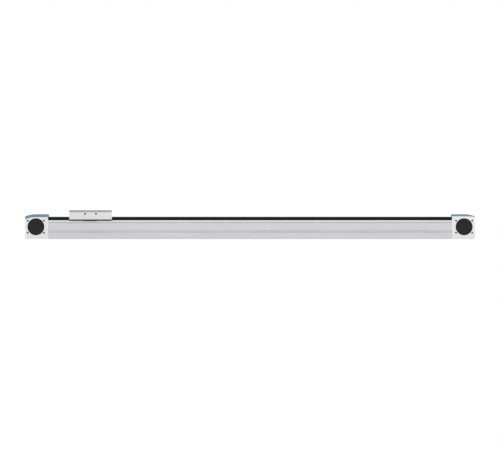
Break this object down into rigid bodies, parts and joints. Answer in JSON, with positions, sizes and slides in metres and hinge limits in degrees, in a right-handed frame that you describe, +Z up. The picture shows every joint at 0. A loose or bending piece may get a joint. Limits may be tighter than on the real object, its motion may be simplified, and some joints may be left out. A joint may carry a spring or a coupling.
{
  "type": "belt driven linear axis",
  "caption": "Linear axis: an aluminium profile with a guide rail carries a carriage, pulled along by a toothed belt that runs around a pulley in each end head.",
  "frame": {"origin": "middle of the underside, half way between the two head ends", "axes": "+X along the axis from the drive head to the idler head, +Y to the rear, where the drive bore opens, +Z up"},
  "size_m": [1.67, 0.086, 0.107],
  "materials": {
    "profile_aluminium": "extruded, natural anodised",
    "slot_cover_plastic": "extruded grey plastic",
    "strip_plastic": "extruded black plastic",
    "rail_steel": "ground and hardened",
    "screw_steel": "black oxide",
    "plug_brass": "turned",
    "head_aluminium": "milled, natural anodised",
    "hood_plastic": "moulded blue plastic",
    "bearing_steel": "polished",
    "seal_rubber": "moulded",
    "cap_plastic": "moulded black plastic",
    "buffer_rubber": "moulded",
    "belt_polyurethane": "toothed belt",
    "pulley_aluminium": "machined",
    "shaft_steel": "ground",
    "cage_plastic": "moulded",
    "carriage_aluminium": "milled, natural anodised",
    "plate_aluminium": "milled, anodised",
    "block_plastic": "moulded"
  },
  "bodies": {
    "base": {"profile_body": "profile_aluminium", "side_slot_covers": "slot_cover_plastic", "bottom_slot_covers": "slot_cover_plastic", "cover_strip_front": "strip_plastic", "cover_strip_rear": "strip_plastic", "guide_rail": "rail_steel", "rail_screws": "screw_steel", "rail_plugs": "plug_brass", "drive_head_housing": "head_aluminium", "idler_head_housing": "head_aluminium", "drive_head_screws": "screw_steel", "idler_head_screws": "screw_steel", "drive_head_hood": "hood_plastic", "idler_head_hood": "hood_plastic", "hood_screws": "screw_steel", "drive_bearing_outer_rings": "bearing_steel", "idler_bearing_outer_rings": "bearing_steel", "drive_bearing_seals": "seal_rubber", "idler_bearing_seals": "seal_rubber", "drive_front_cap": "cap_plastic", "idler_front_cap": "cap_plastic", "idler_rear_cap": "cap_plastic", "end_buffers_left": "buffer_rubber", "end_buffers_right": "buffer_rubber", "toothed_belt": "belt_polyurethane"},
    "drive_pulley_set": {"drive_pulley": "pulley_aluminium", "drive_pulley_flanges": "rail_steel", "drive_shaft": "shaft_steel", "drive_key": "screw_steel", "drive_bearing_inner_rings": "bearing_steel"},
    "drive_ball_set": {"drive_bearing_cages": "cage_plastic", "drive_bearing_balls": "bearing_steel"},
    "idler_pulley_set": {"idler_pulley": "pulley_aluminium", "idler_pulley_flanges": "rail_steel", "idler_shaft": "shaft_steel", "idler_key": "screw_steel", "idler_bearing_inner_rings": "bearing_steel"},
    "idler_ball_set": {"idler_bearing_cages": "cage_plastic", "idler_bearing_balls": "bearing_steel"},
    "carriage": {"carriage_body": "carriage_aluminium", "carriage_top_plate": "plate_aluminium", "top_plate_screws": "screw_steel", "runner_block_left": "rail_steel", "runner_block_right": "rail_steel", "block_end_caps": "block_plastic", "block_end_seals": "seal_rubber", "block_screws": "screw_steel", "lower_belt_clamp": "shaft_steel", "upper_clamp_left": "shaft_steel", "upper_clamp_right": "shaft_steel", "clamp_screws": "screw_steel", "side_seals": "seal_rubber", "magnet_holder_front": "cap_plastic", "magnet_holder_rear": "cap_plastic", "strip_wipers": "seal_rubber", "grease_nipples": "screw_steel"}
  },
  "joints": [
    {"name": "carriage_slide", "type": "slide", "parent": "base", "child": "carriage", "axis": [1, 0, 0], "range_m": [-0.07, 1.25], "deforming": ["toothed_belt"]},
    {"name": "drive_pulley_spin", "type": "hinge", "parent": "base", "child": "drive_pulley_set", "pos_m": [-0.795, 0, 0.0455], "axis": [0, 1, 0], "range_deg": [-122, 2144]},
    {"name": "idler_pulley_spin", "type": "hinge", "parent": "base", "child": "idler_pulley_set", "pos_m": [0.795, 0, 0.0455], "axis": [0, 1, 0], "range_deg": [-122, 2144]},
    {"name": "drive_cage_spin", "type": "hinge", "parent": "base", "child": "drive_ball_set", "pos_m": [-0.795, 0, 0.0455], "axis": [0, 1, 0], "range_deg": [-54, 935]},
    {"name": "idler_cage_spin", "type": "hinge", "parent": "base", "child": "idler_ball_set", "pos_m": [0.795, 0, 0.0455], "axis": [0, 1, 0], "range_deg": [-54, 935]}
  ],
  "couplings": [
    {"joint": "drive_pulley_spin", "follows": "carriage_slide", "rad_per_m": 29.92},
    {"joint": "idler_pulley_spin", "follows": "carriage_slide", "rad_per_m": 29.92},
    {"joint": "drive_cage_spin", "follows": "carriage_slide", "rad_per_m": 13.032},
    {"joint": "idler_cage_spin", "follows": "carriage_slide", "rad_per_m": 13.032}
  ]
}
